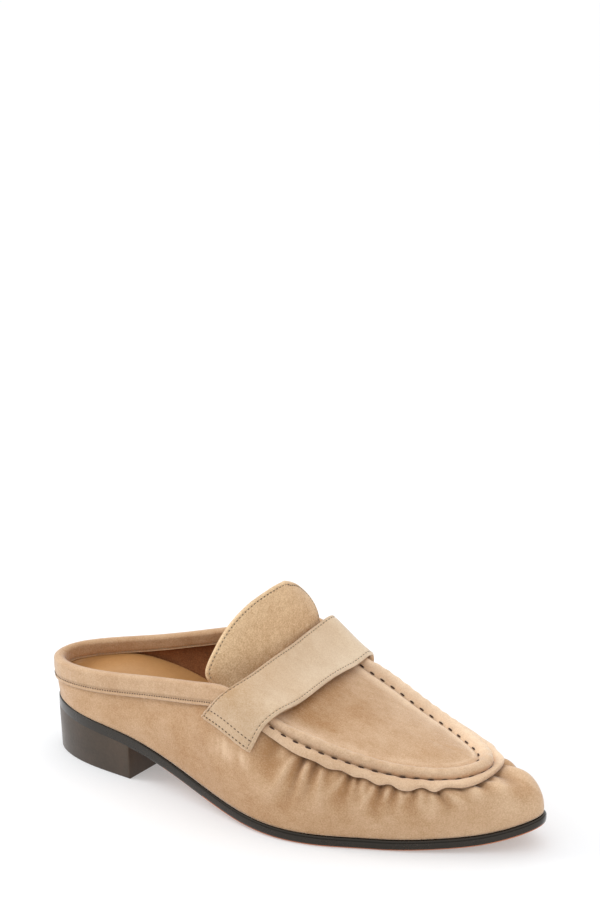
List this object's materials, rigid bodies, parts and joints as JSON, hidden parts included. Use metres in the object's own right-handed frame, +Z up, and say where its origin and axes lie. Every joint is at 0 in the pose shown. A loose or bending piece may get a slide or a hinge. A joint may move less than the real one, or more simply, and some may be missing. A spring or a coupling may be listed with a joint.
{
  "type": "loafer mule",
  "caption": "Low-backed slip-on loafer in sand suede with a rolled moccasin seam, plain instep strap, standing tongue, thin dark sole and low block heel.",
  "frame": {"origin": "middle of the underside of the whole shoe's box, on the floor", "axes": "+X towards the toe, +Y towards the inner side of the right foot, +Z up"},
  "size_m": [0.2728, 0.1058, 0.1039],
  "materials": {
    "sole_leather": "smooth near-black brown sole leather, polished edge",
    "heel_stack": "satin dark brown heel block",
    "suede": "matte sand suede",
    "insole_leather": "smooth tan lining leather, soft sheen",
    "apron_suede": "matte sand suede",
    "strap_suede": "matte sand suede",
    "binding_suede": "matte sand suede",
    "tongue_suede": "matte sand suede"
  },
  "bodies": {
    "root": {"outsole": "sole_leather", "heel": "heel_stack", "upper": "suede", "insole": "insole_leather", "apron": "apron_suede", "strap": "strap_suede", "collar_binding": "binding_suede", "tongue": "tongue_suede"}
  },
  "joints": []
}
